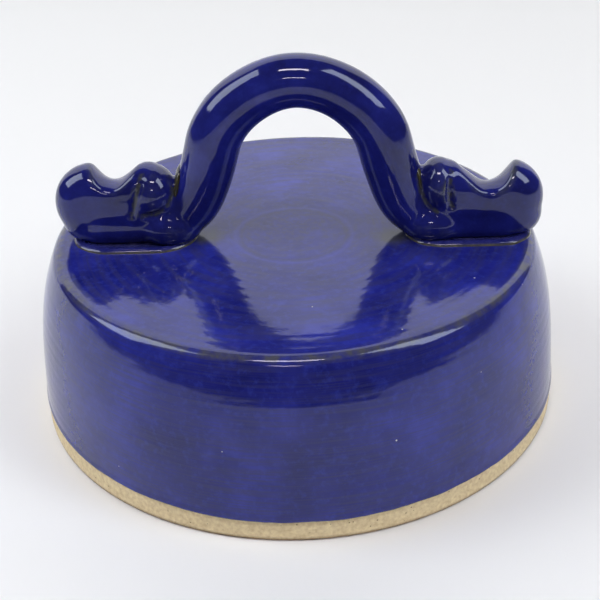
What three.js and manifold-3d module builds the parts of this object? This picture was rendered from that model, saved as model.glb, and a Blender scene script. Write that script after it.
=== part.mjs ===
// A wheel-thrown stoneware bell with a rolled coil handle, in millimetres, +Z up.
// The origin is on the surface the bell stands on, at the middle of its rim.
import * as THREE from "three";
import { mergeVertices } from "three/addons/utils/BufferGeometryUtils.js";
import Module from "manifold-3d";

// Bell: the thrown clay body
const rimRadius = 80; // outside of the bare rim
const bellHeight = 52; // flat clay top above the standing surface
const wallThickness = 6;
const topThickness = 7;
const wallLean = 3.6; // how far the wall leans in over its whole height
const shoulderDraw = 5.6; // how much further the shoulder is drawn in
const shoulderPower = 4.2; // how late up the wall that happens
const shoulderRound = 2.2; // softened arris between the wall and the top
const ceilingFillet = 9; // inside corner under the top
const rimRound = 0.8; // softened edges of the standing ring

// Glaze
const glazeThickness = 0.5;
const outerGlazeLine = 6.8; // bare clay below this, outside
const innerGlazeLine = 5; // bare clay below this, inside

// Handle: one coil, arched in the middle, folded back over itself at both ends
const coilRadius = 7.6;
const footPress = 0.7; // how far the lower run is flattened onto the top
const archRadius = 25.4; // centreline of the arch
const archCentreHeight = 22.7; // centre of that arc above the top
const archSplay = THREE.MathUtils.degToRad(15); // below this angle the legs run straight and splay
const legReach = 17; // straight pull of a leg before it bends
const legSpread = 20.5; // from the start of a leg to where it lies flat
const footPull = 12; // softness of the bend into the foot
const foldLift = 9.1; // upper run's centre above the lower run's
const knobSwell = 0.3; // the coil's cut end swells a little
const knobLength = 7.2; // half length of the knob, pressed against the leg
const lobeOverhang = 1.6; // how far the fold reaches past the shoulder
const fingerRadius = 9.2; // the finger that pressed the saddle
const saddleDepth = 6.1; // how far it sank below the knob's top
const handleTurn = THREE.MathUtils.degToRad(-2.7); // set down by hand, a little askew
const handleShiftX = 2.2;
const handleShiftY = -4;

// Luting slip
const slipThickness = 1.2;
const slipHalfWidth = 10;
const slipInset = 4.5; // the bead stops this far inside the fold's outermost point
const slipCut = 0.3; // clearance where a piece is cut by its neighbour
const tipSlipSize = new THREE.Vector3(3.2, 5.6, 4.6); // half sizes of the smear behind the knob
const tipSlipRise = 3; // its centre above the knob's

// Fineness of the facets
const latheSegments = 60;
const wallSteps = 7;
const cornerSteps = 3;
const coilSides = 18;
const coilSteps = 44;

const wasm = await Module();
wasm.setup();

const clay = { color: 0xcdb487, roughness: 0.9, metalness: 0 };
const cobalt = { color: 0x151a8c, roughness: 0.12, metalness: 0 };
const innerCobalt = { color: 0x1a2290, roughness: 0.2, metalness: 0 };
const slipTone = { color: 0x3d4062, roughness: 0.3, metalness: 0 };

// --- Solids -------------------------------------------------------------------------------

function solidFrom(geometry) {
  const bare = geometry.clone();
  bare.deleteAttribute("normal");
  bare.deleteAttribute("uv");
  const merged = mergeVertices(bare, 1e-4);
  return new wasm.Manifold(
    new wasm.Mesh({
      numProp: 3,
      vertProperties: new Float32Array(merged.attributes.position.array),
      triVerts: new Uint32Array(merged.index.array),
    }),
  );
}

function geometryFrom(solid) {
  const { vertProperties, triVerts } = solid.getMesh();
  const geometry = new THREE.BufferGeometry();
  geometry.setAttribute("position", new THREE.BufferAttribute(vertProperties, 3));
  geometry.setIndex(new THREE.BufferAttribute(triVerts, 1));
  geometry.computeVertexNormals();
  return geometry;
}

function joined(geometries) {
  return geometries.map(solidFrom).reduce((sum, next) => sum.add(next));
}

// A profile of (radius, height) points turned about the vertical axis
function turned(profile) {
  const geometry = new THREE.LatheGeometry(profile, latheSegments);
  return geometry.rotateX(Math.PI / 2);
}

function named(name, geometry, finish) {
  const mesh = new THREE.Mesh(geometry, new THREE.MeshStandardMaterial(finish));
  mesh.name = name;
  return mesh;
}

// --- Bell profiles ------------------------------------------------------------------------

const shoulderRadius = rimRadius - wallLean - shoulderDraw;

function wallRadius(height) {
  const t = height / bellHeight;
  return rimRadius - wallLean * t - shoulderDraw * t ** shoulderPower;
}

// Outside of the wall and top, from a height on the wall to the axis, grown outwards
function outsideProfile(fromHeight, grown) {
  const wallTop = bellHeight - shoulderRound;
  const points = [];
  for (let i = 0; i < wallSteps; i++) {
    const share = Math.sin((Math.PI / 2) * (i / (wallSteps - 1)));
    const height = fromHeight + (wallTop - fromHeight) * share;
    points.push(new THREE.Vector2(wallRadius(height) + grown, height));
  }
  const arris = new THREE.QuadraticBezierCurve(
    new THREE.Vector2(wallRadius(wallTop) + grown, wallTop),
    new THREE.Vector2(shoulderRadius + grown, bellHeight + grown),
    new THREE.Vector2(shoulderRadius - shoulderRound, bellHeight + grown),
  );
  points.push(...arris.getPoints(cornerSteps).slice(1));
  points.push(new THREE.Vector2(0, bellHeight + grown));
  return points;
}

// Inside of the bell, from the axis under the top down to a height on the wall, grown inwards
function insideProfile(toHeight, grown) {
  const ceiling = bellHeight - topThickness - grown;
  const fillet = ceilingFillet - grown;
  const filletFoot = ceiling - fillet;
  const inner = (height) => wallRadius(height) - wallThickness - grown;
  const corner = new THREE.QuadraticBezierCurve(
    new THREE.Vector2(inner(ceiling) - fillet, ceiling),
    new THREE.Vector2(inner(ceiling), ceiling),
    new THREE.Vector2(inner(filletFoot), filletFoot),
  );
  const points = [new THREE.Vector2(0, ceiling), ...corner.getPoints(cornerSteps)];
  for (let i = 1; i < wallSteps; i++) {
    const height = filletFoot + (toHeight - filletFoot) * (i / (wallSteps - 1));
    points.push(new THREE.Vector2(inner(height), height));
  }
  return points;
}

function bellBody() {
  const rimInner = rimRadius - wallThickness;
  const profile = [
    ...insideProfile(innerGlazeLine, 0),
    new THREE.Vector2(rimInner, rimRound),
    new THREE.Vector2(rimInner + rimRound, 0),
    new THREE.Vector2(rimRadius - rimRound, 0),
    new THREE.Vector2(rimRadius, rimRound),
    ...outsideProfile(outerGlazeLine, 0),
  ];
  return turned(profile);
}

// The outer coat, with a window in it under each foot, so that the slip sits on bare clay
function outerGlaze(place) {
  const profile = [
    ...outsideProfile(outerGlazeLine, 0).reverse(),
    ...outsideProfile(outerGlazeLine, glazeThickness),
  ];
  const windows = [-1, 1].map((side) =>
    slipOutline(side, slipCut, 2 * slipThickness).translate(0, 0, -slipThickness).applyMatrix4(place),
  );
  return geometryFrom(solidFrom(turned(profile)).subtract(joined(windows)));
}

function innerGlaze() {
  const profile = [
    ...insideProfile(innerGlazeLine, glazeThickness),
    ...insideProfile(innerGlazeLine, 0).reverse(),
  ];
  return turned(profile);
}

// --- Handle -------------------------------------------------------------------------------
// In the handle's own frame: X along it, Z = 0 on the clay top, middle of the arch at X = 0

const knobRadius = coilRadius + knobSwell;
const footHeight = coilRadius - footPress;
const knobHeight = footHeight + foldLift;
const foldRadius = (knobHeight + knobRadius) / 2;
const foldX = shoulderRadius + lobeOverhang - foldRadius;
const footEnd = foldX + foldRadius - coilRadius - footPress;
const legStart = new THREE.Vector2(
  archRadius * Math.cos(archSplay),
  archCentreHeight + archRadius * Math.sin(archSplay),
);
const legPull = new THREE.Vector2(
  legStart.x + legReach * Math.sin(archSplay),
  legStart.y - legReach * Math.cos(archSplay),
);
const footStart = legStart.x + legSpread;

// The coil's centreline over the arch, drawn flat and stood upright
class ArchLine extends THREE.Curve {
  constructor() {
    super();
    this.flat = new THREE.Path();
    this.flat.moveTo(-footEnd, footHeight);
    this.flat.lineTo(-footStart, footHeight);
    this.flat.bezierCurveTo(
      -footStart + footPull, footHeight, -legPull.x, legPull.y, -legStart.x, legStart.y,
    );
    this.flat.absarc(0, archCentreHeight, archRadius, Math.PI - archSplay, archSplay, true);
    this.flat.bezierCurveTo(
      legPull.x, legPull.y, footStart - footPull, footHeight, footStart, footHeight,
    );
    this.flat.lineTo(footEnd, footHeight);
  }

  getPoint(t) {
    const point = this.flat.getPoint(t);
    return new THREE.Vector3(point.x, 0, point.y);
  }
}

function roundSection(radius) {
  return new THREE.Shape().absarc(0, 0, radius, 0, 2 * Math.PI, false);
}

function arch(grown) {
  return new THREE.ExtrudeGeometry(roundSection(coilRadius + grown), {
    steps: coilSteps,
    curveSegments: coilSides / 2,
    extrudePath: new ArchLine(),
  });
}

function footTip(side, grown) {
  const tip = new THREE.SphereGeometry(coilRadius + grown, coilSides, coilSides / 2);
  return tip.translate(side * footEnd, 0, footHeight);
}

// The fold at the end of the handle: a rounded disc standing on edge
function fold(side, grown) {
  const rim = new THREE.Path();
  rim.moveTo(0, -knobRadius - grown);
  rim.lineTo(foldRadius - knobRadius, -knobRadius - grown);
  rim.absarc(foldRadius - knobRadius, 0, knobRadius + grown, -Math.PI / 2, Math.PI / 2, false);
  rim.lineTo(0, knobRadius + grown);
  const disc = new THREE.LatheGeometry(rim.getPoints(cornerSteps), coilSides);
  return disc.translate(side * foldX, 0, foldRadius);
}

function upperRun(side, grown) {
  const length = foldX - knobX;
  const run = new THREE.CylinderGeometry(knobRadius + grown, knobRadius + grown, length, coilSides);
  return run.rotateZ(Math.PI / 2).translate(side * (knobX + length / 2), 0, knobHeight);
}

function knob(side, grown) {
  const ball = new THREE.SphereGeometry(1, coilSides, coilSides / 2);
  ball.scale(knobLength + grown, knobRadius + grown, knobRadius + grown);
  return ball.translate(side * knobX, 0, knobHeight);
}

// How far out the leg's outer side stands at the knob's height
function legSideAt(height) {
  const line = new ArchLine();
  let reach = 0;
  for (const { x, z } of line.getPoints(coilSteps * 4)) {
    if (x > 0 && x < footStart && z > height - coilRadius && z < height + coilRadius) {
      const across = Math.sqrt(coilRadius ** 2 - (z - height) ** 2);
      if (z >= height) reach = Math.max(reach, x + across);
    }
  }
  return reach;
}

const knobX = legSideAt(knobHeight) + knobLength;
const fingerX = (knobX + foldX) / 2 + footPress;

// The whole coil without its saddles, with every section grown by the same amount
function coilBlank(grown) {
  const pieces = [arch(grown)];
  for (const side of [-1, 1]) {
    pieces.push(footTip(side, grown), fold(side, grown), upperRun(side, grown), knob(side, grown));
  }
  return joined(pieces);
}

function finger(side) {
  const saddleFloor = knobHeight + knobRadius - saddleDepth;
  const press = new THREE.CylinderGeometry(fingerRadius, fingerRadius, 4 * coilRadius, 2 * coilSides);
  return press.translate(side * fingerX, 0, saddleFloor + fingerRadius);
}

function handleCoil() {
  const length = 4 * rimRadius;
  const floor = new THREE.BoxGeometry(length, length, length);
  floor.translate(0, 0, slipThickness - length / 2);
  const cuts = joined([finger(-1), finger(1)]).add(solidFrom(floor));
  return geometryFrom(coilBlank(0).subtract(cuts));
}

// --- Slip ---------------------------------------------------------------------------------

// A long oval under one foot, grown all round, with its underside on the clay top
function slipOutline(side, grown, depth) {
  const end = foldX + foldRadius - slipInset - slipHalfWidth;
  const start = legPull.x + slipHalfWidth + footPress;
  const oval = new THREE.Shape();
  oval.absarc(end, 0, slipHalfWidth + grown, -Math.PI / 2, Math.PI / 2, false);
  oval.absarc(start, 0, slipHalfWidth + grown, Math.PI / 2, (3 * Math.PI) / 2, false);
  const pad = new THREE.ExtrudeGeometry(oval, { depth, bevelEnabled: false, curveSegments: coilSides / 2 });
  return side > 0 ? pad : pad.rotateZ(Math.PI);
}

function footSlip(side) {
  return slipOutline(side, 0, slipThickness);
}

// The smear in the groove between the knob and the leg
function tipSlip(side) {
  const smear = new THREE.SphereGeometry(1, coilSides, coilSides / 2);
  smear.scale(tipSlipSize.x, tipSlipSize.y, tipSlipSize.z);
  smear.translate(side * (knobX - knobLength), 0, knobHeight + tipSlipRise);
  return geometryFrom(solidFrom(smear).subtract(coilBlank(slipCut)));
}

// --- Assembly -----------------------------------------------------------------------------

const handle = new THREE.Group();
handle.position.set(handleShiftX, handleShiftY, bellHeight);
handle.rotation.z = handleTurn;
handle.updateMatrix();
handle.add(
  named("handle_coil", handleCoil(), cobalt),
  named("left_foot_slip", footSlip(-1), slipTone),
  named("right_foot_slip", footSlip(1), slipTone),
  named("left_tip_slip", tipSlip(-1), slipTone),
  named("right_tip_slip", tipSlip(1), slipTone),
);

const bell = new THREE.Group();
bell.add(
  named("bell_body", bellBody(), clay),
  named("outer_glaze", outerGlaze(handle.matrix), cobalt),
  named("inner_glaze", innerGlaze(), innerCobalt),
  handle,
);

export default bell;
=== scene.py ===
"""A wheel-thrown stoneware bell with a rolled coil handle, glazed cobalt blue. Metres, +Z up."""

import math

import bpy
import bmesh
from mathutils import Matrix, Vector


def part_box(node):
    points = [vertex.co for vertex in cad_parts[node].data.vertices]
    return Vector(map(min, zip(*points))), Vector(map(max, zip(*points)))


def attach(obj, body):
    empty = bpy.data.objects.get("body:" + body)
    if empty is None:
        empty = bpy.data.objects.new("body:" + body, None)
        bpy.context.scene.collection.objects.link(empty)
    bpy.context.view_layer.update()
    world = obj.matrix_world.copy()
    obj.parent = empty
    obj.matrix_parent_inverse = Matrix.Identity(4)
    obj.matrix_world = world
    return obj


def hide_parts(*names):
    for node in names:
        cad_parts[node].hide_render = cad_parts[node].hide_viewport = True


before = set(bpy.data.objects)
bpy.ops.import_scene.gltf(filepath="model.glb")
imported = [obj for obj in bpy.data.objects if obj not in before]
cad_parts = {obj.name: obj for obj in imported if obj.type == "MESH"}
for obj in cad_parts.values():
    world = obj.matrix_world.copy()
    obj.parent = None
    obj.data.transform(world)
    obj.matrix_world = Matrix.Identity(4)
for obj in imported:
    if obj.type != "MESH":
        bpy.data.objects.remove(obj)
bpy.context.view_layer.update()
bpy.context.scene.view_settings.view_transform = "Standard"

# ------------------------------------------------------------------------------------------
# Bell body: buff stoneware, thrown on the wheel in one piece, wall and top together. It is
# turned over and trimmed when leather-hard, and its rim is left bare to stand in the kiln.
# ------------------------------------------------------------------------------------------
RIM_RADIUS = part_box("bell_body")[1][0]
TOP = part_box("bell_body")[1][2]
WALL = 0.006
TOP_CLAY = 0.007
WALL_LEAN = 0.0036
SHOULDER_DRAW = 0.0056
SHOULDER_POWER = 4.2
POLE = 0.0003
WHEEL_SEGMENTS = 288


def wall_radius(height):
    """Outside of the clay wall at a height: it leans in slowly, then quickly at the shoulder."""
    t = height / TOP
    return RIM_RADIUS - WALL_LEAN * t - SHOULDER_DRAW * t**SHOULDER_POWER


def blend_points(start, corner, end, count):
    """A soft corner between two straight runs, as (radius, height) points."""
    points = []
    for i in range(count + 1):
        t = i / count
        a, b, c = (1 - t) ** 2, 2 * t * (1 - t), t * t
        points.append(tuple(a * s + b * m + c * e for s, m, e in zip(start, corner, end)))
    return points


def steps(low, high, size):
    """Heights or radii from low to high, evenly spaced and no further apart than size."""
    count = max(1, math.ceil(abs(high - low) / size))
    return [low + (high - low) * i / count for i in range(count + 1)]


def wheel_thrown(name, rings):
    """A ring of clay drawn out along (radius, height) points. An end at the axis is closed."""
    bpy.ops.object.select_all(action="DESELECT")
    first_radius, first_height = rings[0]
    bpy.ops.mesh.primitive_circle_add(vertices=WHEEL_SEGMENTS, radius=first_radius)
    pot = bpy.context.object
    pot.name = name
    bpy.ops.object.mode_set(mode="EDIT")
    bpy.ops.mesh.select_all(action="SELECT")
    bpy.ops.transform.translate(value=(0, 0, first_height))
    for (radius, height), (next_radius, next_height) in zip(rings, rings[1:]):
        bpy.ops.mesh.extrude_region_move(
            TRANSFORM_OT_translate={"value": (0, 0, next_height - height)}
        )
        grow = next_radius / radius
        bpy.ops.transform.resize(value=(grow, grow, 1), center_override=(0, 0, 0))
    if rings[-1][0] <= POLE:
        bpy.ops.mesh.merge(type="CENTER")
    if first_radius <= POLE:
        pick(pot, lambda v: v.co.xy.length < 1.01 * POLE and abs(v.co.z - first_height) < 1e-5)
        bpy.ops.mesh.merge(type="CENTER")
    if rings[0] == rings[-1]:
        bpy.ops.mesh.select_all(action="SELECT")
        bpy.ops.mesh.remove_doubles(threshold=1e-6)
    bpy.ops.mesh.select_all(action="SELECT")
    bpy.ops.mesh.normals_make_consistent(inside=False)
    bpy.ops.object.mode_set(mode="OBJECT")
    bpy.ops.object.shade_smooth()
    return pot


def pick(piece, wanted):
    """In edit mode, selects the vertices that a test wants, and nothing else."""
    bpy.ops.mesh.select_mode(type="VERT")
    bpy.ops.mesh.select_all(action="DESELECT")
    sheet = bmesh.from_edit_mesh(piece.data)
    for vertex in sheet.verts:
        vertex.select = wanted(vertex)
    sheet.select_flush_mode()
    bmesh.update_edit_mesh(piece.data)


def hand_uneven(piece, size, strength, group="", direction="NORMAL"):
    """The slow unevenness of handwork, as a soft cloud pushed into the surface."""
    clouds = bpy.data.textures.new(piece.name + "_unevenness", "CLOUDS")
    clouds.noise_scale = size
    clouds.noise_depth = 1
    push = piece.modifiers.new("unevenness", "DISPLACE")
    push.texture = clouds
    push.texture_coords = "LOCAL"
    push.strength = strength
    push.mid_level = 0.5
    push.direction = direction
    push.vertex_group = group
    bpy.context.view_layer.objects.active = piece
    bpy.ops.object.modifier_apply(modifier=push.name)


CEILING = TOP - TOP_CLAY
CEILING_FILLET = 0.009
RIM_ROUND = 0.0012
SHOULDER_ROUND = 0.003
FLAT_STEP = 0.004
INSIDE_STEP = 0.002
RIM_STEP = 0.0008
OUTSIDE_STEP = 0.001
rim_inner = RIM_RADIUS - WALL
fillet_foot = CEILING - CEILING_FILLET
ceiling_end = wall_radius(CEILING) - WALL - CEILING_FILLET
shoulder_foot = TOP - SHOULDER_ROUND
flat_end = wall_radius(TOP) - SHOULDER_ROUND
inside = [(r, CEILING) for r in steps(POLE, ceiling_end, FLAT_STEP)]
inside += blend_points(
    (ceiling_end, CEILING),
    (wall_radius(CEILING) - WALL, CEILING),
    (wall_radius(fillet_foot) - WALL, fillet_foot),
    10,
)[1:]
inside += [(wall_radius(z) - WALL, z) for z in steps(fillet_foot, 2 * RIM_ROUND, INSIDE_STEP)[1:]]
rim = blend_points((rim_inner, RIM_ROUND), (rim_inner, 0), (rim_inner + RIM_ROUND, 0), 5)
rim += [(r, 0) for r in steps(rim_inner + RIM_ROUND, RIM_RADIUS - RIM_ROUND, RIM_STEP)[1:]]
rim += blend_points((RIM_RADIUS - RIM_ROUND, 0), (RIM_RADIUS, 0), (RIM_RADIUS, RIM_ROUND), 5)[1:]
outside = [(wall_radius(z), z) for z in steps(2 * RIM_ROUND, shoulder_foot, OUTSIDE_STEP)]
outside += blend_points(
    (wall_radius(shoulder_foot), shoulder_foot), (wall_radius(TOP), TOP), (flat_end, TOP), 6
)[1:]
outside += [(r, TOP) for r in steps(flat_end, POLE, FLAT_STEP)[1:]]
clay_bell = wheel_thrown("bell_clay", inside + rim + outside)

clay = bpy.data.materials.new("bare_buff_stoneware")
clay.use_nodes = True
nodes, links = clay.node_tree.nodes, clay.node_tree.links
shader = nodes["Principled BSDF"]
shader.inputs["Roughness"].default_value = 0.82
shader.inputs["IOR"].default_value = 1.45
place = nodes.new("ShaderNodeTexCoord")
grain = nodes.new("ShaderNodeTexNoise")
grain.inputs["Scale"].default_value = 900
grain.inputs["Detail"].default_value = 6
links.new(place.outputs["Object"], grain.inputs["Vector"])
tone = nodes.new("ShaderNodeValToRGB")
tone.color_ramp.elements[0].position = 0.3
tone.color_ramp.elements[0].color = (0.66, 0.51, 0.29, 1)
tone.color_ramp.elements[1].position = 0.72
tone.color_ramp.elements[1].color = (0.88, 0.74, 0.46, 1)
links.new(grain.outputs["Fac"], tone.inputs["Fac"])
# Towards the foot of the bare rim the clay darkens to brown: partly the kiln's toasting, partly
# painted contact shade where the rim meets the table
toast_and_shade_height = nodes.new("ShaderNodeSeparateXYZ")
links.new(place.outputs["Object"], toast_and_shade_height.inputs["Vector"])
toast_and_contact_shade = nodes.new("ShaderNodeMapRange")
toast_and_contact_shade.inputs["From Min"].default_value = 0.0001
toast_and_contact_shade.inputs["From Max"].default_value = 0.0016
toast_and_contact_shade.inputs["To Min"].default_value = 1
toast_and_contact_shade.inputs["To Max"].default_value = 0
links.new(toast_and_shade_height.outputs["Z"], toast_and_contact_shade.inputs["Value"])
toasted_and_contact_shaded = nodes.new("ShaderNodeMix")
toasted_and_contact_shaded.data_type = "RGBA"
toasted_and_contact_shaded.inputs["B"].default_value = (0.20, 0.10, 0.045, 1)
links.new(toast_and_contact_shade.outputs["Result"], toasted_and_contact_shaded.inputs["Factor"])
links.new(tone.outputs["Color"], toasted_and_contact_shaded.inputs["A"])
specks = nodes.new("ShaderNodeTexVoronoi")
specks.inputs["Scale"].default_value = 420
links.new(place.outputs["Object"], specks.inputs["Vector"])
speck_mask = nodes.new("ShaderNodeValToRGB")
speck_mask.color_ramp.elements[0].position = 0.05
speck_mask.color_ramp.elements[0].color = (1, 1, 1, 1)
speck_mask.color_ramp.elements[1].position = 0.12
speck_mask.color_ramp.elements[1].color = (0, 0, 0, 1)
links.new(specks.outputs["Distance"], speck_mask.inputs["Fac"])
speckled = nodes.new("ShaderNodeMix")
speckled.data_type = "RGBA"
speckled.inputs["B"].default_value = (0.25, 0.15, 0.07, 1)
links.new(speck_mask.outputs["Color"], speckled.inputs["Factor"])
links.new(toasted_and_contact_shaded.outputs["Result"], speckled.inputs["A"])
links.new(speckled.outputs["Result"], shader.inputs["Base Color"])
tooth = nodes.new("ShaderNodeBump")
tooth.inputs["Strength"].default_value = 0.5
tooth.inputs["Distance"].default_value = 0.0002
links.new(grain.outputs["Fac"], tooth.inputs["Height"])
links.new(tooth.outputs["Normal"], shader.inputs["Normal"])
clay_bell.data.materials.append(clay)
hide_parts("bell_body")
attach(clay_bell, "root")

# ------------------------------------------------------------------------------------------
# Outer glaze: a coat of cobalt glass half a millimetre thick, poured over the wall and top.
# It was wiped off above the rim, and melted back to a thick, slightly wavy edge there.
# ------------------------------------------------------------------------------------------
COAT = 0.0005
GLAZE_LINE = 0.0068
ARRIS = 0.0022
THROWING_RIDGE = 0.000012
TRIMMING_RIDGE = 0.000007
SWIRL_RADIUS = 0.019
SWIRL_RIDGE = 0.00005
SWIRL_WIDTH = 0.0016
CLAY_GAP = 0.0001
GLAZE_EDGE = 0.0015
UNDER_TOP_STEP = 0.006
UNDER_WALL_STEP = 0.003
COAT_WALL_STEP = 0.0006
COAT_TOP_STEP = 0.0007


def throwing_rings(height):
    """The shallow spiral that fingers leave in the wall."""
    drift = 1 + 0.5 * math.sin(height * 230)
    return THROWING_RIDGE * drift * (math.sin(height * 1900) + 0.6 * math.sin(height * 3270 + 1))


def trimming_rings(radius):
    """The finer rings that the trimming tool leaves in the top."""
    drift = 1 + 0.7 * math.sin(radius * 190 + 1)
    swirl = SWIRL_RIDGE * math.exp(-(((radius - SWIRL_RADIUS) / SWIRL_WIDTH) ** 2))
    rings = math.sin(radius * 1700) + 0.7 * math.sin(radius * 3100 + 2)
    return swirl + TRIMMING_RIDGE * drift * rings


wall_top = TOP - ARRIS
under = [(r, TOP + CLAY_GAP) for r in steps(POLE, flat_end, UNDER_TOP_STEP)]
under += blend_points(
    (flat_end, TOP + CLAY_GAP),
    (wall_radius(TOP) + CLAY_GAP, TOP + CLAY_GAP),
    (wall_radius(shoulder_foot) + CLAY_GAP, shoulder_foot),
    5,
)[1:]
under += [
    (wall_radius(z) + CLAY_GAP, z) for z in steps(shoulder_foot, GLAZE_LINE, UNDER_WALL_STEP)[1:]
]
edge_foot = wall_radius(GLAZE_LINE)
edge = [
    (edge_foot + 0.00015, GLAZE_LINE - 0.00012),
    (edge_foot + 0.0004, GLAZE_LINE - 0.0001),
    (edge_foot + 0.0006, GLAZE_LINE + 0.0001),
    (edge_foot + 0.00068, GLAZE_LINE + 0.0004),
    (edge_foot + 0.00062, GLAZE_LINE + 0.0009),
]
coat = [
    (wall_radius(z) + COAT + throwing_rings(z), z)
    for z in steps(GLAZE_LINE + GLAZE_EDGE, wall_top, COAT_WALL_STEP)
]
coat += blend_points(
    coat[-1], (wall_radius(TOP) + COAT, TOP + COAT), (wall_radius(TOP) - ARRIS, TOP + COAT), 12
)[1:]
coat += [
    (r, TOP + COAT + trimming_rings(r))
    for r in steps(wall_radius(TOP) - ARRIS, POLE, COAT_TOP_STEP)[1:]
]
outer_coat = wheel_thrown("outer_glaze_coat", under + edge + coat)
hand_uneven(outer_coat, size=0.05, strength=0.0005)
line_group = outer_coat.vertex_groups.new(name="glaze_line")
for vertex in outer_coat.data.vertices:
    above = (vertex.co.z - GLAZE_LINE) / GLAZE_EDGE
    line_group.add([vertex.index], max(0.0, min(1.0, 1 - above)), "REPLACE")
hand_uneven(outer_coat, 0.02, 0.0012, "glaze_line", "Z")
hand_uneven(outer_coat, 0.004, 0.0004, "glaze_line", "Z")

cobalt = bpy.data.materials.new("cobalt_glaze")
cobalt.use_nodes = True
nodes, links = cobalt.node_tree.nodes, cobalt.node_tree.links
shader = nodes["Principled BSDF"]
shader.inputs["Roughness"].default_value = 0.09
shader.inputs["IOR"].default_value = 1.56
shader.inputs["Specular Tint"].default_value = (0.78, 0.82, 1, 1)


def math_node(nodes, links, operation, first, second=None):
    """One arithmetic node, fed by sockets or numbers."""
    node = nodes.new("ShaderNodeMath")
    node.operation = operation
    for socket, value in zip(node.inputs, (first, second)):
        if value is None:
            continue
        if isinstance(value, (int, float)):
            socket.default_value = value
        else:
            links.new(value, socket)
    return node.outputs[0]


def noise_node(nodes, links, vector, scale, detail=3.0, roughness=0.5):
    """A noise that reads a vector, by its scale."""
    node = nodes.new("ShaderNodeTexNoise")
    node.inputs["Scale"].default_value = scale
    node.inputs["Detail"].default_value = detail
    node.inputs["Roughness"].default_value = roughness
    links.new(vector, node.inputs["Vector"])
    return node.outputs["Fac"]


def ramp_node(nodes, links, value, stops):
    """A colour ramp with (position, grey or colour) stops."""
    node = nodes.new("ShaderNodeValToRGB")
    ramp = node.color_ramp
    while len(ramp.elements) < len(stops):
        ramp.elements.new(0.5)
    for element, (position, colour) in zip(ramp.elements, stops):
        element.position = position
        grey = isinstance(colour, (int, float))
        element.color = (colour, colour, colour, 1) if grey else (*colour, 1)
    links.new(value, node.inputs["Fac"])
    return node.outputs["Color"]


def mix_node(nodes, links, factor, first, second, blend="MIX"):
    """One colour mixed over another."""
    node = nodes.new("ShaderNodeMix")
    node.data_type = "RGBA"
    node.blend_type = blend
    for name, value in (("Factor", factor), ("A", first), ("B", second)):
        if isinstance(value, (int, float)):
            node.inputs[name].default_value = value
        elif isinstance(value, tuple):
            node.inputs[name].default_value = (*value, 1)
        else:
            links.new(value, node.inputs[name])
    return node.outputs["Result"]


place = nodes.new("ShaderNodeTexCoord").outputs["Object"]
axes = nodes.new("ShaderNodeSeparateXYZ")
links.new(place, axes.inputs["Vector"])
across = math_node(nodes, links, "POWER", axes.outputs["X"], 2)
along = math_node(nodes, links, "POWER", axes.outputs["Y"], 2)
radius = math_node(nodes, links, "SQRT", math_node(nodes, links, "ADD", across, along))
angle = math_node(nodes, links, "ARCTAN2", axes.outputs["Y"], axes.outputs["X"])
wheel_mark = nodes.new("ShaderNodeCombineXYZ")
drawn = math_node(nodes, links, "MULTIPLY", axes.outputs["Z"], 5.0)
links.new(math_node(nodes, links, "ADD", radius, drawn), wheel_mark.inputs["X"])
links.new(math_node(nodes, links, "MULTIPLY", angle, 0.006), wheel_mark.inputs["Y"])
streaks = noise_node(nodes, links, wheel_mark.outputs["Vector"], 420, 4, 0.6)
cloud = noise_node(nodes, links, place, 55, 4, 0.6)
fine = noise_node(nodes, links, place, 480, 4, 0.65)
deep = ramp_node(
    nodes,
    links,
    cloud,
    [
        (0.32, (0.008, 0.010, 0.115)),
        (0.52, (0.014, 0.018, 0.205)),
        (0.7, (0.026, 0.034, 0.32)),
    ],
)
streak_mask = ramp_node(nodes, links, streaks, [(0.42, 0.0), (0.64, 0.7)])
streaked = mix_node(nodes, links, streak_mask, deep, (0.03, 0.031, 0.12))
fine_mask = ramp_node(nodes, links, fine, [(0.5, 0.0), (0.72, 0.45)])
mottled = mix_node(nodes, links, fine_mask, streaked, (0.03, 0.045, 0.34))
# The glaze breaks to grey along the arris, where it runs thin
RIDGE_IN = 0.0004
RIDGE_UP = 0.0001
RIDGE_FADE = 0.0021
RIDGE_CORE = 0.0004
near_ridge = nodes.new("ShaderNodeMapRange")
near_ridge.interpolation_type = "SMOOTHSTEP"
near_ridge.inputs["From Min"].default_value = RIDGE_FADE
near_ridge.inputs["From Max"].default_value = RIDGE_CORE
ridge_radius = math_node(nodes, links, "SUBTRACT", radius, wall_radius(TOP) - RIDGE_IN)
ridge_height = math_node(nodes, links, "SUBTRACT", axes.outputs["Z"], TOP + RIDGE_UP)
ridge_distance = math_node(
    nodes,
    links,
    "SQRT",
    math_node(
        nodes,
        links,
        "ADD",
        math_node(nodes, links, "POWER", ridge_radius, 2),
        math_node(nodes, links, "POWER", ridge_height, 2),
    ),
)
links.new(ridge_distance, near_ridge.inputs["Value"])
ragged_mask = ramp_node(
    nodes, links, noise_node(nodes, links, place, 260, 3, 0.6), [(0.38, 0.15), (0.62, 0.85)]
)
broken = math_node(nodes, links, "MULTIPLY", near_ridge.outputs["Result"], ragged_mask)
edged = mix_node(nodes, links, broken, mottled, (0.075, 0.075, 0.075))
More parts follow.
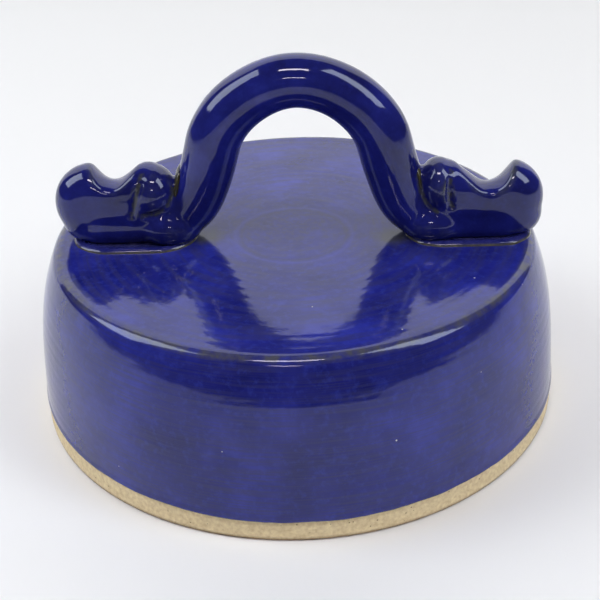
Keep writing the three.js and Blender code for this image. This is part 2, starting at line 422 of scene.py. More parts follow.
# Two thin, ragged grey-olive patches darken the top round the inner ends of the feet
GREY_PATCH_RAGGED = 0.006
GREY_PATCH_OUTER = 0.0095
GREY_PATCH_INNER = 0.0055
for grey_patch_x, grey_patch_y in ((-0.0262, -0.0045), (0.0290, -0.0085)):
    aside = nodes.new("ShaderNodeVectorMath")
    aside.operation = "DISTANCE"
    aside.inputs[1].default_value = (grey_patch_x, grey_patch_y, TOP)
    links.new(place, aside.inputs[0])
    raggedness = math_node(nodes, links, "MULTIPLY", cloud, GREY_PATCH_RAGGED)
    ragged = math_node(nodes, links, "ADD", aside.outputs["Value"], raggedness)
    grey_patch = nodes.new("ShaderNodeMapRange")
    grey_patch.inputs["From Min"].default_value = GREY_PATCH_OUTER
    grey_patch.inputs["From Max"].default_value = GREY_PATCH_INNER
    grey_patch.inputs["To Max"].default_value = 0.75
    links.new(ragged, grey_patch.inputs["Value"])
    edged = mix_node(nodes, links, grey_patch.outputs["Result"], edged, (0.055, 0.058, 0.05))
# A finger's ring lies round the middle of the top, a little to the front: its crest is a painted
# highlight and the hollow just inside it a painted shade
RING_MIDDLE = (0, -0.005, TOP)
RING_RADIUS = 0.0175
RING_SHARPNESS = 1700
HOLLOW_OFFSET = 3
ring = nodes.new("ShaderNodeVectorMath")
ring.operation = "DISTANCE"
ring.inputs[1].default_value = RING_MIDDLE
links.new(place, ring.inputs[0])
ring_offset = math_node(nodes, links, "SUBTRACT", ring.outputs["Value"], RING_RADIUS)
ring_wave = math_node(nodes, links, "MULTIPLY", ring_offset, RING_SHARPNESS)
crest_square = math_node(nodes, links, "POWER", ring_wave, 2)
crest_spread = math_node(nodes, links, "ADD", 1, crest_square)
ring_painted_highlight = math_node(nodes, links, "DIVIDE", 0.4, crest_spread)
edged = mix_node(nodes, links, ring_painted_highlight, edged, (0.035, 0.045, 0.36))
# Painted shade: a dark line in the hollow just inside the crest
hollow_wave = math_node(nodes, links, "ADD", ring_wave, HOLLOW_OFFSET)
hollow_square = math_node(nodes, links, "POWER", hollow_wave, 2)
hollow_spread = math_node(nodes, links, "ADD", 1, hollow_square)
ring_painted_shade = math_node(nodes, links, "DIVIDE", 0.45, hollow_spread)
edged = mix_node(nodes, links, ring_painted_shade, edged, (0.03, 0.03, 0.07))
pits = nodes.new("ShaderNodeTexVoronoi")
pits.inputs["Scale"].default_value = 85
links.new(place, pits.inputs["Vector"])
pit_mask = ramp_node(nodes, links, pits.outputs["Distance"], [(0.014, 1.0), (0.024, 0.0)])
pitted = mix_node(nodes, links, pit_mask, edged, (0.62, 0.62, 0.58))
links.new(pitted, shader.inputs["Base Color"])
ripple = nodes.new("ShaderNodeBump")
ripple.inputs["Strength"].default_value = 0.25
ripple.inputs["Distance"].default_value = 0.0002
waviness = noise_node(nodes, links, place, 300, 2, 0.5)
links.new(waviness, ripple.inputs["Height"])
links.new(ripple.outputs["Normal"], shader.inputs["Normal"])
outer_coat.data.materials.append(cobalt)
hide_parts("outer_glaze")
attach(outer_coat, "root")

# ------------------------------------------------------------------------------------------
# Inner glaze: the same cobalt, swilled round the inside and poured out again, so that the
# butter touches glass. It stops short of the rim, as the outer coat does.
# ------------------------------------------------------------------------------------------
INNER_LINE = 0.005
LINING_FLAT = 0.055
LINING_TOP_STEP = 0.0012
LINING_WALL_STEP = 0.0008
BACKING_STEP = 0.004
lining = [
    (r, CEILING - COAT + trimming_rings(r)) for r in steps(POLE, LINING_FLAT, LINING_TOP_STEP)
]
lining += blend_points(
    (ceiling_end, CEILING - COAT),
    (wall_radius(CEILING) - WALL - COAT, CEILING - COAT),
    (wall_radius(fillet_foot) - WALL - COAT, fillet_foot),
    14,
)
lining += [
    (wall_radius(z) - WALL - COAT - throwing_rings(z), z)
    for z in steps(fillet_foot, INNER_LINE + 0.0012, LINING_WALL_STEP)[1:]
]
inner_edge = wall_radius(INNER_LINE) - WALL
lining += [
    (inner_edge - 0.0006, INNER_LINE + 0.0003),
    (inner_edge - 0.00045, INNER_LINE),
    (inner_edge - 0.0001, INNER_LINE - 0.0001),
]
backing = [
    (wall_radius(z) - WALL - CLAY_GAP, z)
    for z in steps(INNER_LINE + 0.0005, fillet_foot, BACKING_STEP)
]
backing += blend_points(
    backing[-1],
    (wall_radius(CEILING) - WALL - CLAY_GAP, CEILING - CLAY_GAP),
    (ceiling_end, CEILING - CLAY_GAP),
    8,
)[1:]
backing += [(r, CEILING - CLAY_GAP) for r in steps(backing[-1][0], POLE, UNDER_TOP_STEP)[1:]]
inner_coat = wheel_thrown("inner_glaze_coat", lining + backing)
inner_line_group = inner_coat.vertex_groups.new(name="glaze_line")
for vertex in inner_coat.data.vertices:
    above = (vertex.co.z - INNER_LINE) / GLAZE_EDGE
    inner_line_group.add([vertex.index], max(0.0, min(1.0, 1 - above)), "REPLACE")
hand_uneven(inner_coat, 0.02, 0.0012, "glaze_line", "Z")
inner_coat.data.materials.append(cobalt)
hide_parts("inner_glaze")
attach(inner_coat, "root")

# ------------------------------------------------------------------------------------------
# Handle: one coil of clay rolled by hand, bent to an arch, its ends folded back over its
# feet and pressed down with a finger, so that each ends in a round knob against the leg.
# ------------------------------------------------------------------------------------------
COIL = 0.0076
ARCH = 0.0254
ARCH_CENTRE = 0.0227
SPLAY = math.radians(15)
LEG_REACH = 0.0185
LEG_SPREAD = {-1: 0.0182, 1: 0.0160}
FOOT_PULL = {-1: 0.0108, 1: 0.0098}
HAUNCH_SWELL = 1.06
BOW_EASE = 0.92
FOOT_HEIGHT = 0.0069
FOOT_END = 0.0634
UPPER_COIL = 0.0079
HANDLE_TURN = math.radians(-2.7)
handle_low, handle_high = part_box("handle_coil")
HANDLE_PLACE = Matrix.Translation(
    ((handle_low[0] + handle_high[0]) / 2, (handle_low[1] + handle_high[1]) / 2, TOP)
) @ Matrix.Rotation(HANDLE_TURN, 4, "Z")
SLIP_TOP = handle_low[2] - TOP


def apply_all(piece):
    """Puts a piece's place into its mesh, so that its object is back at the origin."""
    bpy.ops.object.select_all(action="DESELECT")
    piece.select_set(True)
    bpy.context.view_layer.objects.active = piece
    bpy.ops.object.transform_apply(location=True, rotation=True, scale=True)


def ball(place, half_sizes, tilt=0.0):
    """A lump of clay rolled between the palms and squeezed to its half sizes."""
    bpy.ops.object.select_all(action="DESELECT")
    bpy.ops.mesh.primitive_uv_sphere_add(segments=48, ring_count=24, radius=1, location=place)
    lump = bpy.context.object
    lump.scale = half_sizes
    lump.rotation_euler = (0, tilt, 0)
    apply_all(lump)
    return lump


def roll(start, end, radius):
    """A straight roll of clay between two points."""
    start, end = Vector(start), Vector(end)
    bpy.ops.object.select_all(action="DESELECT")
    bpy.ops.mesh.primitive_cylinder_add(
        vertices=64,
        radius=radius,
        depth=(end - start).length,
        location=(start + end) / 2,
        rotation=(end - start).to_track_quat("Z", "Y").to_euler(),
    )
    apply_all(bpy.context.object)
    return bpy.context.object


def hoop(place, rim_radius, thickness, stretch=1.0):
    """A ring of clay standing on edge in line with the handle, taller by its stretch."""
    bpy.ops.object.select_all(action="DESELECT")
    bpy.ops.mesh.primitive_torus_add(
        major_segments=64,
        minor_segments=32,
        major_radius=rim_radius,
        minor_radius=thickness,
        location=place,
        rotation=(math.pi / 2, 0, 0),
    )
    bpy.context.object.scale = (1, stretch, 1)
    apply_all(bpy.context.object)
    return bpy.context.object


def rolled_arch():
    """The coil over the arch, foot to foot, swept along one soft line."""
    bpy.ops.object.select_all(action="DESELECT")
    bpy.ops.curve.primitive_bezier_curve_add()
    line = bpy.context.object
    spline = line.data.splines[0]
    up = Vector((math.sin(SPLAY), 0, math.cos(SPLAY)))
    leg = Vector((-ARCH * math.cos(SPLAY), 0, ARCH_CENTRE + ARCH * math.sin(SPLAY)))
    bow = BOW_EASE * ARCH * 4 / 3 * math.tan((math.pi / 2 - SPLAY) / 4)
    level = Vector((1, 0, 0))
    halves = []
    for side in (-1, 1):
        foot = Vector((leg.x - LEG_SPREAD[side], 0, FOOT_HEIGHT))
        halves.append([
            (Vector((-FOOT_END, 0, FOOT_HEIGHT)), level, 0.002, 0.002, 1.0),
            (foot, level, 0.004, FOOT_PULL[side], 1.0),
            (leg, up, LEG_REACH, bow, HAUNCH_SWELL),
        ])
    left, right = halves
    apex = (Vector((0, 0, ARCH_CENTRE + ARCH)), level, bow, bow, 1.0)
    flip = Vector((-1, 1, 1))
    turn = Vector((1, 1, -1))
    right = [
        (point * flip, heading * turn, after, before, fat)
        for point, heading, before, after, fat in reversed(right)
    ]
    points = left + [apex] + right
    spline.bezier_points.add(len(points) - len(spline.bezier_points))
    for knot, (point, heading, before, after, fat) in zip(spline.bezier_points, points):
        knot.radius = fat
        knot.handle_left_type = knot.handle_right_type = "FREE"
        knot.co = point
        knot.handle_left = point - heading * before
        knot.handle_right = point + heading * after
    line.data.dimensions = "3D"
    line.data.bevel_depth = COIL
    line.data.bevel_resolution = 14
    line.data.resolution_u = 28
    line.data.use_fill_caps = True
    bpy.ops.object.convert(target="MESH")
    return bpy.context.object


def saddle_tool(side, points):
    """A rocker with a soft wavy edge, hollow underneath so that the saddle is left crowned."""
    front, back, strokes, tall = -0.0105, 0.0105, 14, 0.03
    bpy.ops.object.select_all(action="DESELECT")
    bpy.ops.curve.primitive_bezier_curve_add()
    line = bpy.context.object
    spline = line.data.splines[0]
    spline.bezier_points.add(len(points) - len(spline.bezier_points))
    for knot, (out, height) in zip(spline.bezier_points, points):
        knot.handle_left_type = knot.handle_right_type = "AUTO"
        knot.co = (side * out, front, height - (front - CROWN_Y) ** 2 / (2 * CROWN_RADIUS))
    line.data.dimensions = "3D"
    line.data.resolution_u = 10
    bpy.ops.object.convert(target="MESH")
    tool = bpy.context.object
    bpy.ops.object.mode_set(mode="EDIT")
    bpy.ops.mesh.select_all(action="SELECT")
    stroke = (back - front) / strokes
    for i in range(strokes):
        was, now = front + i * stroke - CROWN_Y, front + (i + 1) * stroke - CROWN_Y
        drop = (was**2 - now**2) / (2 * CROWN_RADIUS)
        bpy.ops.mesh.extrude_region_move(TRANSFORM_OT_translate={"value": (0, stroke, drop)})
    bpy.ops.mesh.select_all(action="SELECT")
    bpy.ops.mesh.extrude_region_move(TRANSFORM_OT_translate={"value": (0, 0, tall)})
    bpy.ops.mesh.select_all(action="SELECT")
    bpy.ops.mesh.normals_make_consistent(inside=False)
    bpy.ops.object.mode_set(mode="OBJECT")
    apply_all(tool)
    return tool


def join(pieces, name):
    """Lutes pieces together into one lump."""
    bpy.ops.object.select_all(action="DESELECT")
    for piece in pieces:
        piece.select_set(True)
    bpy.context.view_layer.objects.active = pieces[0]
    bpy.ops.object.join()
    lump = bpy.context.object
    lump.name = name
    return lump


def smear(piece, voxel):
    """Wipes the joins away: the lump becomes one skin."""
    remesh = piece.modifiers.new("one_skin", "REMESH")
    remesh.mode = "VOXEL"
    remesh.voxel_size = voxel
    bpy.context.view_layer.objects.active = piece
    bpy.ops.object.modifier_apply(modifier=remesh.name)


def soften(piece, rounds, factor=0.5, group=""):
    """Runs a damp sponge over it, or over one part of it."""
    sponge = piece.modifiers.new("sponge", "SMOOTH")
    sponge.vertex_group = group
    sponge.factor = factor
    sponge.iterations = rounds
    bpy.context.view_layer.objects.active = piece
    bpy.ops.object.modifier_apply(modifier=sponge.name)


def pressed(piece, depth, height, level):
    """Squeezes a roll that lies at a level, by its depth and height."""
    piece.scale = (1, depth, height)
    piece.location.z = level * (1 - height)
    apply_all(piece)
    return piece


def groove_tool(points, radius):
    """A bent wire drawn along (out, front, height) points, to press a crease."""
    bpy.ops.object.select_all(action="DESELECT")
    bpy.ops.curve.primitive_bezier_curve_add()
    wire = bpy.context.object
    spline = wire.data.splines[0]
    spline.bezier_points.add(len(points) - len(spline.bezier_points))
    for knot, point in zip(spline.bezier_points, points):
        knot.handle_left_type = knot.handle_right_type = "AUTO"
        knot.co = point
    wire.data.dimensions = "3D"
    wire.data.bevel_depth = radius
    wire.data.bevel_resolution = 6
    wire.data.resolution_u = 12
    wire.data.use_fill_caps = True
    bpy.ops.object.convert(target="MESH")
    apply_all(bpy.context.object)
    return bpy.context.object


def carve(piece, tool):
    """Cuts the tool's shape out of a piece, and puts the tool away."""
    cut = piece.modifiers.new("cut", "BOOLEAN")
    cut.operation = "DIFFERENCE"
    cut.object = tool
    cut.solver = "MANIFOLD"
    bpy.context.view_layer.objects.active = piece
    bpy.ops.object.modifier_apply(modifier=cut.name)
    bpy.data.objects.remove(tool)


# The two ends were folded and pressed by different strokes, so each has sizes of its own,
# as (out from the handle's middle, height above the top).
ENDS = {
    -1: {
        "fold": (0.0605, 0.0120),
        "knob": (0.0424, 0.0156),
        "knob_half": (0.0064, 0.0082, 0.0079),
        "creases": (
            ((0.0450, 0.0222), (0.0466, 0.0180), (0.0478, 0.0138), (0.0490, 0.0100)),
            (
                (0.0364, 0.0200), (0.0366, 0.0165), (0.0382, 0.0134),
                (0.0412, 0.0113), (0.0462, 0.0106),
            ),
        ),
        "sole": 0.0085,
        "saddle": (
            (0.0340, 0.0350), (0.0388, 0.0290), (0.0428, 0.0264),
            (0.0464, 0.0242), (0.0500, 0.0213),
            (0.0536, 0.0193), (0.0568, 0.0200), (0.0592, 0.0225),
            (0.0616, 0.0260), (0.0650, 0.0320),
        ),
    },
    1: {
        "fold": (0.0594, 0.0116),
        "knob": (0.0404, 0.0162),
        "knob_half": (0.0057, 0.0080, 0.0082),
        "creases": (
            ((0.0436, 0.0222), (0.0430, 0.0175), (0.0433, 0.0135), (0.0440, 0.0114)),
            ((0.0342, 0.0205), (0.0350, 0.0160), (0.0370, 0.0124), (0.0395, 0.0106)),
        ),
        "sole": 0.0079,
        "saddle": (
            (0.0340, 0.0350), (0.0378, 0.0290), (0.0412, 0.0262),
            (0.0450, 0.0232), (0.0494, 0.0196),
            (0.0540, 0.0168), (0.0576, 0.0179), (0.0602, 0.0208),
            (0.0628, 0.0246), (0.0656, 0.0300),
        ),
    },
}
CROWN_Y = -0.0025
CROWN_RADIUS = 0.0100
BODY_LEVEL = 0.0102
BODY_DEPTH = 0.0081
BODY_HEIGHT = 0.0103
SOLE_LEVEL = 0.0052
SOLE_HEIGHT = 0.0066
BODY_FROM, BODY_TO, BODY_END = 0.0400, 0.0600, 0.0080
SOLE_FROM, SOLE_TO, SOLE_END = 0.0400, 0.0590, 0.0088
HEEL_X, HEEL_Y, HEEL_REACH, HEEL_WIDER = 0.0388, -0.0016, 0.0100, 0.0004
KNOB_Y = -0.0011
PRESSED_FROM, PRESSED_FADE = 0.0375, 0.003
CREASE_WIDTH = 0.0012
CREASE_FRONT = -0.0084
CREASE_LEAN = 0.24
CREASE_LEAN_FROM = 0.0165
KNOBS_FROM = 0.030
CREASES_BEFORE = -0.004
lumps = [rolled_arch()]
for side, end in ENDS.items():
    fold_x, fold_z = end["fold"]
    knob_x, knob_z = end["knob"]
    upper = 2 * fold_z - UPPER_COIL
    lumps.append(ball((side * FOOT_END, 0, FOOT_HEIGHT), (COIL, COIL, COIL)))
    lumps.append(hoop((side * fold_x, 0, fold_z), fold_z - UPPER_COIL, UPPER_COIL))
    lumps.append(roll((side * knob_x, 0, upper), (side * fold_x, 0, upper), 0.98 * UPPER_COIL))
    body = roll((side * BODY_FROM, 0, BODY_LEVEL), (side * BODY_TO, 0, BODY_LEVEL), BODY_DEPTH)
    lumps.append(pressed(body, 1, BODY_HEIGHT / BODY_DEPTH, BODY_LEVEL))
    lumps.append(ball((side * BODY_TO, 0, BODY_LEVEL), (BODY_END, BODY_DEPTH, BODY_HEIGHT)))
    lumps.append(ball((side * knob_x, KNOB_Y, knob_z), end["knob_half"]))
    sole = roll((side * SOLE_FROM, 0, SOLE_LEVEL), (side * SOLE_TO, 0, SOLE_LEVEL), SOLE_HEIGHT)
    lumps.append(pressed(sole, end["sole"] / SOLE_HEIGHT, 1, SOLE_LEVEL))
    lumps.append(ball((side * SOLE_TO, 0, SOLE_LEVEL), (SOLE_END, end["sole"], SOLE_HEIGHT)))
    heel_half = (HEEL_REACH, end["sole"] + HEEL_WIDER, SOLE_HEIGHT)
    lumps.append(ball((side * HEEL_X, HEEL_Y, SOLE_LEVEL), heel_half))
coil = join(lumps, "handle_coil_glazed")
smear(coil, voxel=0.0006)
for side, end in ENDS.items():
    carve(coil, saddle_tool(side, end["saddle"]))
smear(coil, voxel=0.0005)
soften(coil, 6)
pressed_zone = coil.vertex_groups.new(name="pressed")
for vertex in coil.data.vertices:
    out = (abs(vertex.co.x) - PRESSED_FROM) / PRESSED_FADE
    pressed_zone.add([vertex.index], max(0.0, min(1.0, out)), "REPLACE")
soften(coil, 26, group="pressed")
bpy.ops.object.select_all(action="DESELECT")
bpy.ops.mesh.primitive_cube_add(size=4 * RIM_RADIUS, location=(0, 0, SLIP_TOP - 2 * RIM_RADIUS))
table = bpy.context.object
apply_all(table)
carve(coil, table)
for side, end in ENDS.items():
    for crease in end["creases"]:
        wire = [
            (side * out, CREASE_FRONT + CREASE_LEAN * max(0.0, rise - CREASE_LEAN_FROM), rise)
            for out, rise in crease
        ]
        wire_tool = groove_tool(wire, CREASE_WIDTH)
        smear(wire_tool, voxel=0.00022)
        carve(coil, wire_tool)
smear(coil, voxel=0.00046)
soften(coil, 3)
hand_uneven(coil, size=0.02, strength=0.0005)


def mark_creases(piece, name):
    """Notes the creases round each knob, where the slip shows through the glaze."""
    mark = piece.data.attributes.new(name, "FLOAT", "POINT")
    for value, vertex in zip(mark.data, piece.data.vertices):
        x, y, z = vertex.co
        if abs(x) < KNOBS_FROM or y > CREASES_BEFORE:
            continue
        near = 1.0
        for crease in ENDS[-1 if x < 0 else 1]["creases"]:
            for (out, rise), (next_out, next_rise) in zip(crease, crease[1:]):
                run, climb = next_out - out, next_rise - rise
                t = ((abs(x) - out) * run + (z - rise) * climb) / (run**2 + climb**2)
                t = max(0.0, min(1.0, t))
                near = min(near, math.hypot(abs(x) - out - t * run, z - rise - t * climb))
        value.value = max(0.0, 1 - near / CREASE_WIDTH)


mark_creases(coil, "crease")
coil.matrix_world = HANDLE_PLACE
apply_all(coil)
bpy.ops.object.shade_smooth()


def mark_edges(piece, rounds, name):
    """Notes how far each point stands proud of what is round it: there the glaze runs thin."""
    bpy.ops.object.select_all(action="DESELECT")
    piece.select_set(True)
    bpy.context.view_layer.objects.active = piece
    bpy.ops.object.duplicate()
    twin = bpy.context.object
    soften(twin, rounds)
    proud = piece.data.attributes.new(name, "FLOAT", "POINT")
    for mark, point, smooth in zip(proud.data, piece.data.vertices, twin.data.vertices):
        mark.value = (point.co - smooth.co).dot(point.normal) * 1000
    bpy.data.objects.remove(twin)


mark_edges(coil, 30, "proud_mm")

coil_glaze = bpy.data.materials.new("cobalt_glaze_on_coil")
coil_glaze.use_nodes = True
nodes, links = coil_glaze.node_tree.nodes, coil_glaze.node_tree.links
shader = nodes["Principled BSDF"]
shader.inputs["Roughness"].default_value = 0.06
shader.inputs["IOR"].default_value = 1.54
shader.inputs["Specular Tint"].default_value = (0.85, 0.89, 1, 1)
place = nodes.new("ShaderNodeTexCoord").outputs["Object"]
proud = nodes.new("ShaderNodeAttribute")
proud.attribute_name = "proud_mm"
cloud = noise_node(nodes, links, place, 70, 4, 0.6)
fine = noise_node(nodes, links, place, 520, 4, 0.65)
deep = ramp_node(
    nodes,
    links,
    cloud,
    [
        (0.32, (0.007, 0.008, 0.085)),
        (0.54, (0.010, 0.013, 0.15)),
        (0.72, (0.018, 0.023, 0.23)),
    ],
)
fine_mask = ramp_node(nodes, links, fine, [(0.5, 0.0), (0.75, 0.35)])
mottled = mix_node(nodes, links, fine_mask, deep, (0.02, 0.03, 0.25))
centred = math_node(nodes, links, "SUBTRACT", fine, 0.5)
uneven_wear = math_node(nodes, links, "MULTIPLY", centred, 0.08)
wear = math_node(nodes, links, "ADD", proud.outputs["Fac"], uneven_wear)
thin = ramp_node(nodes, links, wear, [(0.07, 0.0), (0.2, 0.85)])
olive_tone = ramp_node(
    nodes,
    links,
    noise_node(nodes, links, place, 300, 3, 0.6),
    [(0.35, (0.03, 0.035, 0.075)), (0.62, (0.075, 0.08, 0.055))],
)
crease = nodes.new("ShaderNodeAttribute")
crease.attribute_name = "crease"
crease_break = ramp_node(nodes, links, fine, [(0.35, 0.2), (0.6, 1.3)])
creased = math_node(nodes, links, "MULTIPLY", crease.outputs["Fac"], crease_break)
broken = mix_node(nodes, links, thin, mottled, olive_tone)
crease_mask = ramp_node(nodes, links, creased, [(0.15, 0.0), (0.75, 0.8)])
broken = mix_node(nodes, links, crease_mask, broken, (0.05, 0.052, 0.034))
pits = nodes.new("ShaderNodeTexVoronoi")
pits.inputs["Scale"].default_value = 60
links.new(place, pits.inputs["Vector"])
pit_mask = ramp_node(nodes, links, pits.outputs["Distance"], [(0.012, 1.0), (0.02, 0.0)])
pitted = mix_node(nodes, links, pit_mask, broken, (0.6, 0.6, 0.56))
links.new(pitted, shader.inputs["Base Color"])
ripple = nodes.new("ShaderNodeBump")
ripple.inputs["Strength"].default_value = 0.2
ripple.inputs["Distance"].default_value = 0.0002
links.new(noise_node(nodes, links, place, 260, 2, 0.5), ripple.inputs["Height"])
links.new(ripple.outputs["Normal"], shader.inputs["Normal"])
coil.data.materials.clear()
coil.data.materials.append(coil_glaze)
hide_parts("handle_coil")
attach(coil, "root")

# ------------------------------------------------------------------------------------------
# Foot slip: liquid clay brushed between each foot and the scored top, squeezed out into a
# low bead all round when the foot is pressed home, and glazed over with the rest.
# ------------------------------------------------------------------------------------------
BEAD_MIDDLE = 0.0495
BEAD_HALF_LENGTH = 0.0188
BEAD_LIFT = 0.0002

bead_glaze = bpy.data.materials.new("glaze_over_foot_slip")
bead_glaze.use_nodes = True
nodes, links = bead_glaze.node_tree.nodes, bead_glaze.node_tree.links
shader = nodes["Principled BSDF"]
shader.inputs["Roughness"].default_value = 0.08
shader.inputs["IOR"].default_value = 1.5
place = nodes.new("ShaderNodeTexCoord").outputs["Object"]
height = nodes.new("ShaderNodeSeparateXYZ")
links.new(place, height.inputs["Vector"])
low = nodes.new("ShaderNodeMapRange")
low.inputs["From Min"].default_value = TOP + 0.0013
low.inputs["From Max"].default_value = TOP + 0.0009
links.new(height.outputs["Z"], low.inputs["Value"])
patch = noise_node(nodes, links, place, 420, 4, 0.6)
blue = ramp_node(nodes, links, patch, [(0.35, (0.010, 0.012, 0.11)), (0.7, (0.03, 0.032, 0.17))])
seam = ramp_node(nodes, links, patch, [(0.35, (0.05, 0.05, 0.075)), (0.65, (0.11, 0.10, 0.065))])
links.new(mix_node(nodes, links, low.outputs["Result"], blue, seam), shader.inputs["Base Color"])

for side, half_width, name, node in (
    (-1, 0.0121, "left_foot_bead", "left_foot_slip"),
    (1, 0.0107, "right_foot_bead", "right_foot_slip"),
):
    bpy.ops.object.select_all(action="DESELECT")
    bpy.ops.mesh.primitive_circle_add(vertices=192, radius=half_width)
    bead = bpy.context.object
    bead.name = name
    bpy.ops.object.mode_set(mode="EDIT")
    bpy.ops.mesh.select_all(action="SELECT")
    for end in (-1, 1):
        pick(bead, lambda v: v.co.x * end > 1e-5)
        bpy.ops.transform.translate(value=(end * (BEAD_HALF_LENGTH - half_width), 0, 0))
    bpy.ops.mesh.select_all(action="SELECT")
    bpy.ops.transform.translate(value=(side * BEAD_MIDDLE, 0, BEAD_LIFT))
    centre = (side * BEAD_MIDDLE, 0, 0)
    shoulder = [
        (0.0, 0.0), (-0.0001, 0.0006), (-0.0004, 0.0010),
        (-0.0009, 0.0013), (-0.0015, 0.00142), (-0.0021, 0.00138),
        (-0.0028, 0.0012), (-0.0036, 0.00104), (-0.0055, 0.001),
    ]
    for (pull, rise), (next_pull, next_rise) in zip(shoulder, shoulder[1:]):
        bpy.ops.mesh.extrude_region_move(TRANSFORM_OT_translate={"value": (0, 0, next_rise - rise)})
        bpy.ops.transform.resize(
            value=(
                (BEAD_HALF_LENGTH + next_pull) / (BEAD_HALF_LENGTH + pull),
                (half_width + next_pull) / (half_width + pull),
                1,
            ),
            center_override=centre,
        )
    bpy.ops.mesh.edge_face_add()
    pick(bead, lambda v: v.co.z < 1.05 * BEAD_LIFT)
    bpy.ops.mesh.edge_face_add()
    bpy.ops.mesh.select_all(action="SELECT")
    bpy.ops.mesh.normals_make_consistent(inside=False)
    bpy.ops.object.mode_set(mode="OBJECT")
    hand_uneven(bead, size=0.006, strength=0.0009, direction="Y")
    bead.matrix_world = HANDLE_PLACE
    apply_all(bead)
    bpy.ops.object.shade_smooth_by_angle(angle=math.radians(50))
    bead.data.materials.append(bead_glaze)
    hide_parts(node)
    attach(bead, "root")

# ------------------------------------------------------------------------------------------
# Tip slip: a smear of the same slip in the groove where each knob is held against the leg,
# over which the glaze runs thin and fires olive brown.
# ------------------------------------------------------------------------------------------
olive = bpy.data.materials.new("olive_slip_glaze")
olive.use_nodes = True
nodes, links = olive.node_tree.nodes, olive.node_tree.links
shader = nodes["Principled BSDF"]
shader.inputs["Roughness"].default_value = 0.16
place = nodes.new("ShaderNodeTexCoord").outputs["Object"]
patch = noise_node(nodes, links, place, 380, 4, 0.6)
links.new(
    ramp_node(nodes, links, patch, [(0.35, (0.015, 0.015, 0.02)), (0.65, (0.055, 0.05, 0.018))]),
    shader.inputs["Base Color"],
)
TIP_Y = -0.0002
TIP_RISE = 0.0168
TIP_HALF = (0.0013, 0.0052, 0.0066)
TIP_TILT = math.radians(-12)
for side, out, name, node in (
    (-1, 0.0356, "left_tip_smear", "left_tip_slip"),
    (1, 0.0350, "right_tip_smear", "right_tip_slip"),
):
    tip = ball((side * out, TIP_Y, TIP_RISE), TIP_HALF, side * TIP_TILT)
    tip.name = name
    hand_uneven(tip, size=0.003, strength=0.0006)
    tip.matrix_world = HANDLE_PLACE
    apply_all(tip)
    bpy.ops.object.shade_smooth()
    tip.data.materials.append(olive)
    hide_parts(node)
    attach(tip, "root")

# ------------------------------------------------------------------------------------------
# Stage: a pale table, a bright wall of light behind in three overlapping panels, a window on
# each side with a second panel that only glints in the glaze, and two tubes overhead.
# ------------------------------------------------------------------------------------------
bpy.ops.object.select_all(action="DESELECT")
bpy.ops.mesh.primitive_plane_add(size=1, location=(0, 0.6, 0))
floor = bpy.context.object
floor.name = "pale_table"
floor.scale = (4, 2.6, 1)
apply_all(floor)
paper = bpy.data.materials.new("pale_paper")
paper.use_nodes = True
paper.node_tree.nodes["Principled BSDF"].inputs["Base Color"].default_value = (0.86, 0.86, 0.855, 1)
paper.node_tree.nodes["Principled BSDF"].inputs["Roughness"].default_value = 0.7
floor.data.materials.append(paper)

world = bpy.data.worlds.new("studio")
bpy.context.scene.world = world
world.use_nodes = True
nodes, links = world.node_tree.nodes, world.node_tree.links
backdrop = nodes["Background"]
seen = nodes.new("ShaderNodeLightPath")
sky = nodes.new("ShaderNodeMix")
sky.data_type = "RGBA"
sky.inputs["A"].default_value = (0.06, 0.06, 0.065, 1)
sky.inputs["B"].default_value = (0.90, 0.90, 0.90, 1)
links.new(seen.outputs["Is Camera Ray"], sky.inputs["Factor"])
links.new(sky.outputs["Result"], backdrop.inputs["Color"])


def soft_light(name, place, aim, width, height, power, colour=(1, 1, 1), lights=True):
    """A rectangular light that faces a point. Without lights, it only glints in the glaze."""
    bpy.ops.object.light_add(type="AREA", location=place)
    light = bpy.context.object
    light.name = name
    light.rotation_euler = (Vector(aim) - Vector(place)).to_track_quat("-Z", "Y").to_euler()
    light.data.shape = "RECTANGLE"
    light.data.size = width
    light.data.size_y = height
    light.data.energy = power
    light.data.color = colour
    light.visible_camera = False
    light.visible_diffuse = lights


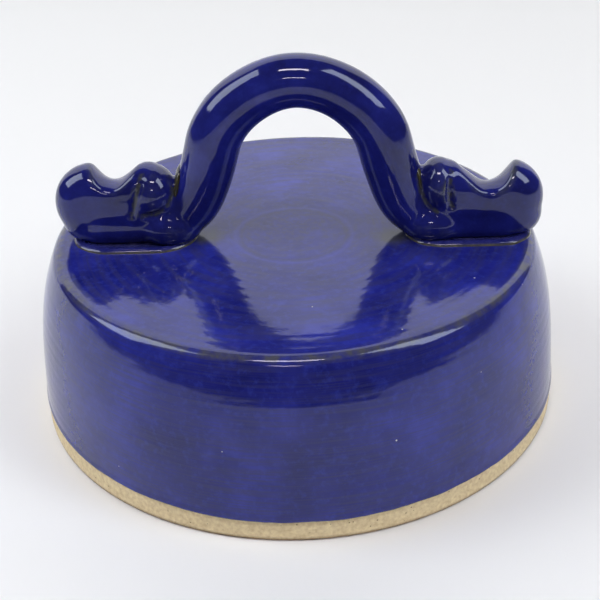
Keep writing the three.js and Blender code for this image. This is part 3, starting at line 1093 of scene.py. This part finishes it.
LEFT_WINDOW = (-0.89, 0.0, 0.85)
RIGHT_WINDOW = (0.77, -0.33, 0.91)
BELL_MIDDLE = (0, 0, 0.05)
COOL = (0.88, 0.94, 1)
WARM = (1, 0.88, 0.86)
soft_light("back_wall", (0, 1.15, 1.0), (0, 0, 1.0), 3.2, 2.0, 21)
soft_light("back_wall_middle", (0, 1.14, 1.33), (0, 0, 1.33), 3.2, 1.34, 1.4)
soft_light("back_wall_upper", (0, 1.13, 1.4), (0, 0, 1.4), 3.2, 1.2, 2.2)
soft_light("left_window", LEFT_WINDOW, BELL_MIDDLE, 0.58, 0.86, 7.3, COOL)
soft_light("right_window", RIGHT_WINDOW, BELL_MIDDLE, 0.44, 0.95, 6.8, COOL)
soft_light("left_window_glint", LEFT_WINDOW, BELL_MIDDLE, 0.58, 0.86, 18, COOL, lights=False)
soft_light("right_window_glint", RIGHT_WINDOW, BELL_MIDDLE, 0.44, 0.95, 16, COOL, lights=False)
soft_light("ceiling_tube", (-0.1, -0.62, 1.5), BELL_MIDDLE, 0.58, 0.17, 6, WARM)
soft_light("far_ceiling_tube", (-0.24, -2.1, 1.35), BELL_MIDDLE, 0.51, 0.05, 3.4, WARM)

# The camera looks down at the front of the bell, a little turned in its own plane
LENS = 66.36
DISTANCE = 4.53 * RIM_RADIUS
ELEVATION = math.radians(34.61)
ROLL = math.radians(-2.08)
LOOK = Vector((0.0143, 0, 0.3315)) * RIM_RADIUS
bpy.ops.object.camera_add()
camera = bpy.context.object
eye = Vector((0, -DISTANCE * math.cos(ELEVATION), DISTANCE * math.sin(ELEVATION)))
forward = (LOOK - eye).normalized()
right = forward.cross(Vector((0, 0, 1))).normalized()
up = right.cross(forward)
rolled_right = math.cos(ROLL) * right + math.sin(ROLL) * up
rolled_up = -math.sin(ROLL) * right + math.cos(ROLL) * up
camera.matrix_world = Matrix((
    (rolled_right.x, rolled_up.x, -forward.x, eye.x),
    (rolled_right.y, rolled_up.y, -forward.y, eye.y),
    (rolled_right.z, rolled_up.z, -forward.z, eye.z),
    (0, 0, 0, 1),
))
camera.data.lens = LENS
camera.data.sensor_width = 36
camera.data.clip_start = 0.01
bpy.context.scene.camera = camera
